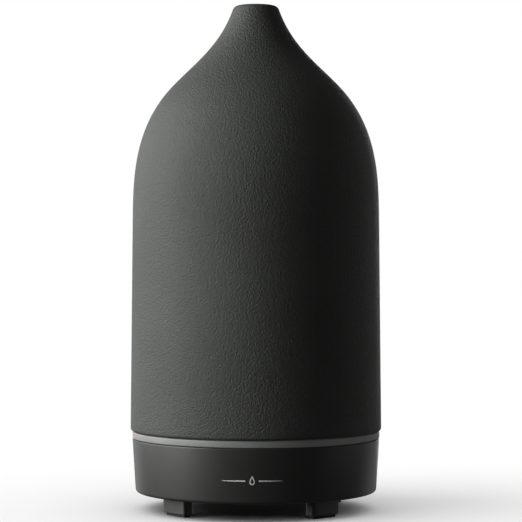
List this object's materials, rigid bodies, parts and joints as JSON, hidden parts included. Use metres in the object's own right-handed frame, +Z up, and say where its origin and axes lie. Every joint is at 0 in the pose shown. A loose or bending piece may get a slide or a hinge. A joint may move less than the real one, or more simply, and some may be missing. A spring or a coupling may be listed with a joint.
{
  "type": "essential oil diffuser",
  "caption": "Bottle-shaped ultrasonic oil diffuser: a lift-off ceramic cover and splash lid over a water tank, a light ring and a round base on short feet.",
  "frame": {"origin": "on the ground, under the middle of the object", "axes": "+Z up along the axis of the cover; the front, with the printed ornament, faces -Y and the power inlet is at +Y"},
  "size_m": [0.0896, 0.0896, 0.1797],
  "materials": {
    "stone_ceramic": "matte",
    "base_plastic": "satin",
    "inner_plastic": "satin",
    "frosted_ring": "satin",
    "rubber": "matte",
    "silicone": "matte",
    "steel": "satin",
    "aluminium": "satin",
    "brass": "satin",
    "circuit_board": "satin",
    "component": "satin",
    "connector": "satin",
    "led": "gloss",
    "lead": "satin"
  },
  "bodies": {
    "base": {"water_tank": "inner_plastic", "piezo_disc": "brass", "piezo_seal": "silicone", "piezo_clamp": "inner_plastic", "piezo_screw_1": "steel", "piezo_screw_2": "steel", "piezo_screw_3": "steel", "light_ring": "frosted_ring", "led_board": "circuit_board", "led_1": "led", "led_2": "led", "led_3": "led", "led_4": "led", "led_5": "led", "led_6": "led", "base_shell": "base_plastic", "bottom_cover": "base_plastic", "foot_front_left": "base_plastic", "foot_front_right": "base_plastic", "foot_rear_right": "base_plastic", "foot_rear_left": "base_plastic", "foot_pad_front_left": "rubber", "foot_pad_front_right": "rubber", "foot_pad_rear_right": "rubber", "foot_pad_rear_left": "rubber", "base_screw_1": "steel", "base_screw_2": "steel", "base_screw_3": "steel", "fan_frame": "component", "fan_screw_1": "steel", "fan_screw_2": "steel", "control_board": "circuit_board", "controller_chip": "component", "heat_sink": "aluminium", "transistor": "component", "inductor": "component", "capacitor_1": "component", "capacitor_2": "component", "fan_connector": "connector", "led_connector": "connector", "piezo_connector": "connector", "board_screw_1": "steel", "board_screw_2": "steel", "mist_switch": "component", "light_switch": "component", "dc_jack": "component", "fan_lead": "lead", "piezo_lead": "lead", "led_lead": "lead"},
    "lid": {"inner_lid": "inner_plastic"},
    "cover": {"ceramic_cover": "stone_ceramic"},
    "mist_key": {"mist_button": "base_plastic", "mist_plunger": "connector"},
    "light_key": {"light_button": "base_plastic", "light_plunger": "connector"},
    "fan": {"fan_rotor": "inner_plastic"}
  },
  "joints": [
    {"name": "lid_lift", "type": "slide", "parent": "base", "child": "lid", "axis": [0, 0, 1], "range_m": [0, 0.07]},
    {"name": "cover_lift", "type": "slide", "parent": "lid", "child": "cover", "axis": [0, 0, 1], "range_m": [0, 0.16]},
    {"name": "mist_press", "type": "slide", "parent": "base", "child": "mist_key", "axis": [-0.4384, -0.8988, 0], "range_m": [0, 0.0008], "stiffness_N_per_m": 2000},
    {"name": "light_press", "type": "slide", "parent": "base", "child": "light_key", "axis": [0.4384, -0.8988, 0], "range_m": [0, 0.0008], "stiffness_N_per_m": 2000},
    {"name": "fan_spin", "type": "hinge", "parent": "base", "child": "fan", "pos_m": [0, -0.0124, 0.0125], "axis": [0, 0, 1], "continuous": true}
  ]
}
